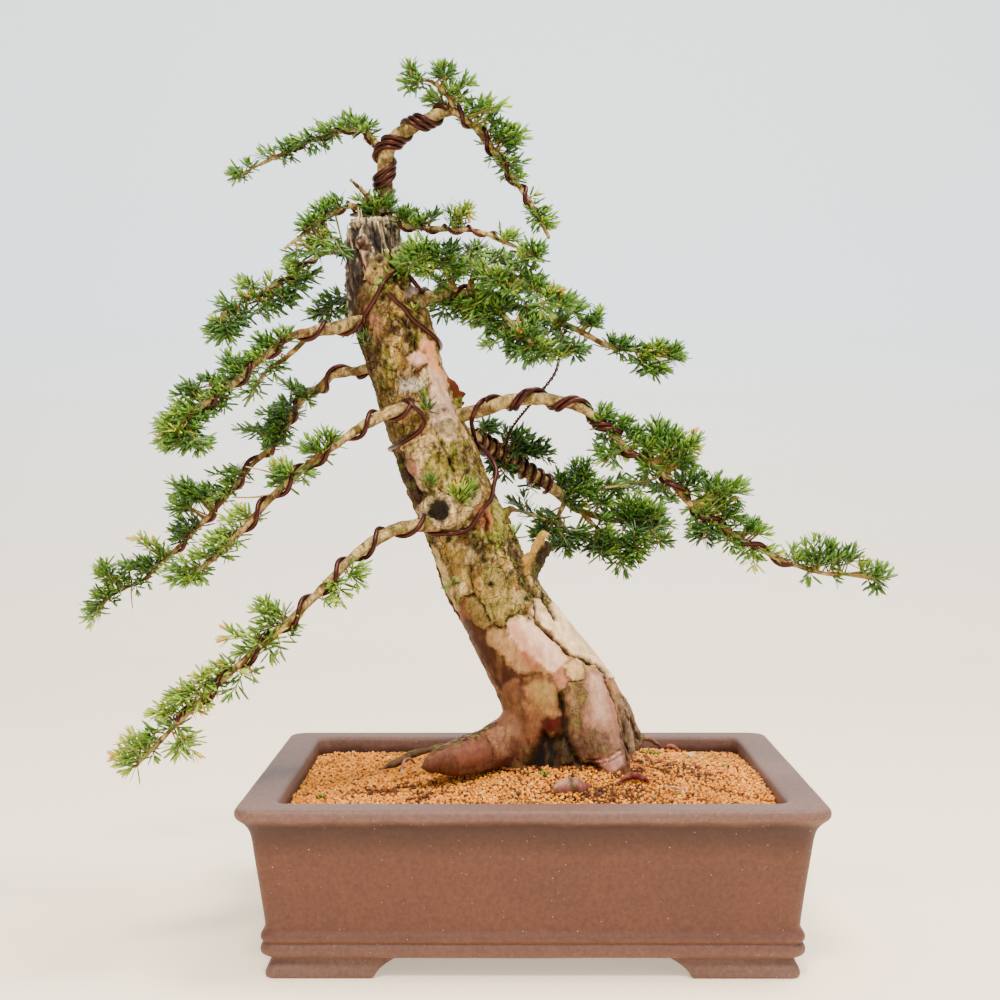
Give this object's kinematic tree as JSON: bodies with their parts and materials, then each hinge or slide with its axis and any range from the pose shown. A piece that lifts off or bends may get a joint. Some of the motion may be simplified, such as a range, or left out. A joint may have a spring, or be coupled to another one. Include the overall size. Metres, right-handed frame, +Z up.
{
  "type": "english yew bonsai",
  "caption": "Wired yew bonsai with a leaning trunk, surface roots, bare deadwood and leafy sprays, planted in a rectangular unglazed stoneware pot on bracket feet.",
  "frame": {"origin": "middle of the underside of the whole tree's outline box, on the plane that the pot's feet stand on; the pot's own centre lies 67 mm to +X of it", "axes": "+X to the tree's right as seen from its front, -Y towards the front (viewing side), +Z up"},
  "size_m": [0.6866, 0.34, 0.7326],
  "materials": {
    "stoneware": "matte",
    "screen_mesh": "matte",
    "clay_grain": "matte",
    "bark": "matte",
    "needles": "satin",
    "bending_wire": "satin",
    "guy_wire": "satin"
  },
  "bodies": {
    "root": {"pot": "stoneware", "drain_screen_left": "screen_mesh", "drain_screen_right": "screen_mesh", "soil": "clay_grain", "trunk": "bark", "spray_leader": "needles", "spray_left_1": "needles", "spray_foot_tuft": "needles", "spray_left_2": "needles", "spray_left_3": "needles", "spray_left_4": "needles", "spray_left_5": "needles", "spray_left_6": "needles", "spray_left_7": "needles", "spray_left_8": "needles", "spray_right_1": "needles", "spray_right_2": "needles", "spray_right_3": "needles", "spray_right_4": "needles", "wire_leader_a": "bending_wire", "wire_leader_b": "bending_wire", "wire_left_1": "bending_wire", "wire_left_2_right_1": "bending_wire", "wire_left_3": "bending_wire", "wire_left_5_right_2": "bending_wire", "wire_left_6": "bending_wire", "wire_left_7_right_3": "bending_wire", "wire_right_3_second": "bending_wire", "wire_left_8_right_4": "bending_wire", "guy_wire": "guy_wire"}
  },
  "joints": []
}
